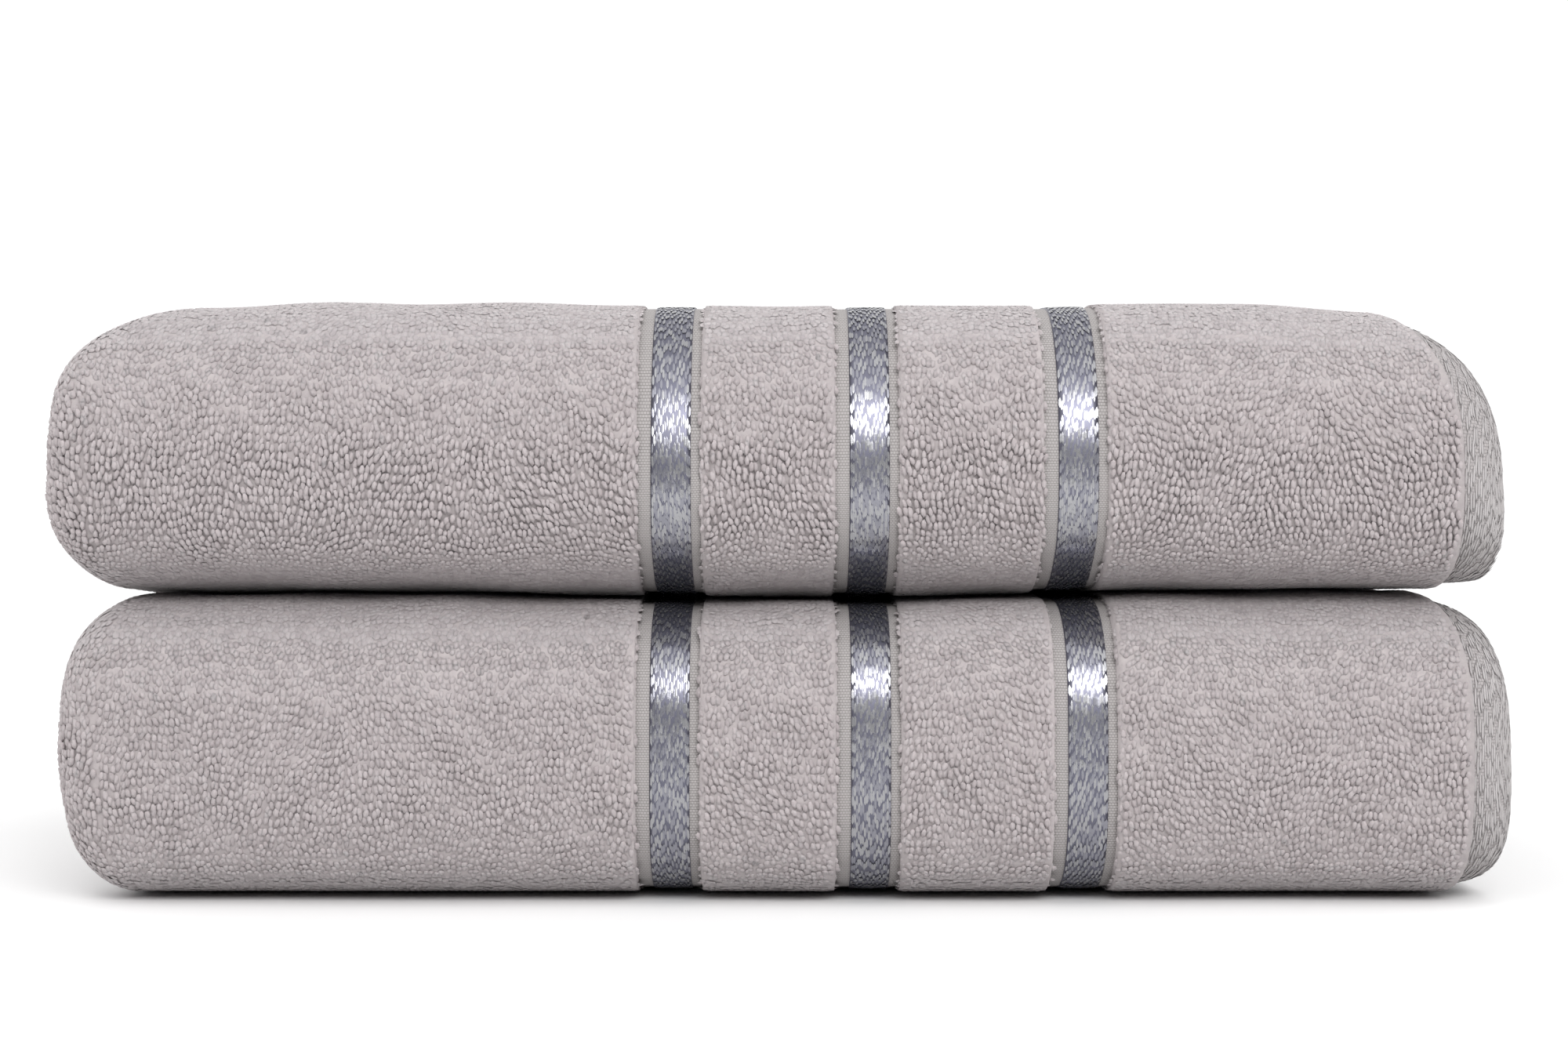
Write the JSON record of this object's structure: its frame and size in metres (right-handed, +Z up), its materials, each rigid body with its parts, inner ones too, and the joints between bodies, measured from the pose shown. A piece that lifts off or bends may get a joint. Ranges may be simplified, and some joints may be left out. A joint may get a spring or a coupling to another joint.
{
  "type": "bath towel set",
  "caption": "Folded terry bath towels lying one on the other, each with satin bands woven across it near one end and a flat woven end hem.",
  "frame": {"origin": "centre of the lower towel's underside, at the middle of the set's length and depth", "axes": "+X along the folded length towards the ends with the hems, -Y towards the front wrap, +Z up"},
  "size_m": [0.3528, 0.233, 0.1463],
  "materials": {
    "terry": "uncut cotton loop pile, warm pinkish grey, matt",
    "flat_weave": "plain flat cotton weave without pile, fine cross ribs",
    "satin": "viscose satin weave, cool silver grey, glossy along the floats",
    "thread": "polyester sewing thread, lockstitch"
  },
  "bodies": {
    "lower_towel": {"lower_terry_panel_1": "terry", "lower_woven_strip_1": "flat_weave", "lower_satin_band_1": "satin", "lower_terry_panel_2": "terry", "lower_woven_strip_2": "flat_weave", "lower_satin_band_2": "satin", "lower_terry_panel_3": "terry", "lower_woven_strip_3": "flat_weave", "lower_satin_band_3": "satin", "lower_terry_panel_main": "terry", "lower_second_ply": "terry", "lower_third_ply": "terry", "lower_fourth_ply": "terry", "lower_outer_end_turn": "terry", "lower_inner_end_turn": "terry", "lower_hem_side_turn": "terry", "lower_outer_end_hem": "flat_weave", "lower_outer_hem_stitching": "thread", "lower_inner_end_hem": "flat_weave", "lower_inner_hem_stitching": "thread", "lower_top_side_hem_1": "flat_weave", "lower_top_side_hem_2": "flat_weave", "lower_top_side_hem_3": "flat_weave", "lower_top_side_hem_4": "flat_weave", "lower_tucked_side_hem_1": "flat_weave", "lower_tucked_side_hem_2": "flat_weave", "lower_tucked_side_hem_3": "flat_weave", "lower_tucked_side_hem_4": "flat_weave"},
    "upper_towel": {"upper_terry_panel_1": "terry", "upper_woven_strip_1": "flat_weave", "upper_satin_band_1": "satin", "upper_terry_panel_2": "terry", "upper_woven_strip_2": "flat_weave", "upper_satin_band_2": "satin", "upper_terry_panel_3": "terry", "upper_woven_strip_3": "flat_weave", "upper_satin_band_3": "satin", "upper_terry_panel_main": "terry", "upper_second_ply": "terry", "upper_third_ply": "terry", "upper_fourth_ply": "terry", "upper_outer_end_turn": "terry", "upper_inner_end_turn": "terry", "upper_hem_side_turn": "terry", "upper_outer_end_hem": "flat_weave", "upper_outer_hem_stitching": "thread", "upper_inner_end_hem": "flat_weave", "upper_inner_hem_stitching": "thread", "upper_top_side_hem_1": "flat_weave", "upper_top_side_hem_2": "flat_weave", "upper_top_side_hem_3": "flat_weave", "upper_top_side_hem_4": "flat_weave", "upper_tucked_side_hem_1": "flat_weave", "upper_tucked_side_hem_2": "flat_weave", "upper_tucked_side_hem_3": "flat_weave", "upper_tucked_side_hem_4": "flat_weave"}
  },
  "joints": [
    {"name": "upper_towel_lift", "type": "slide", "parent": "lower_towel", "child": "upper_towel", "axis": [0, 0, 1], "range_m": [0, 0.2]}
  ]
}
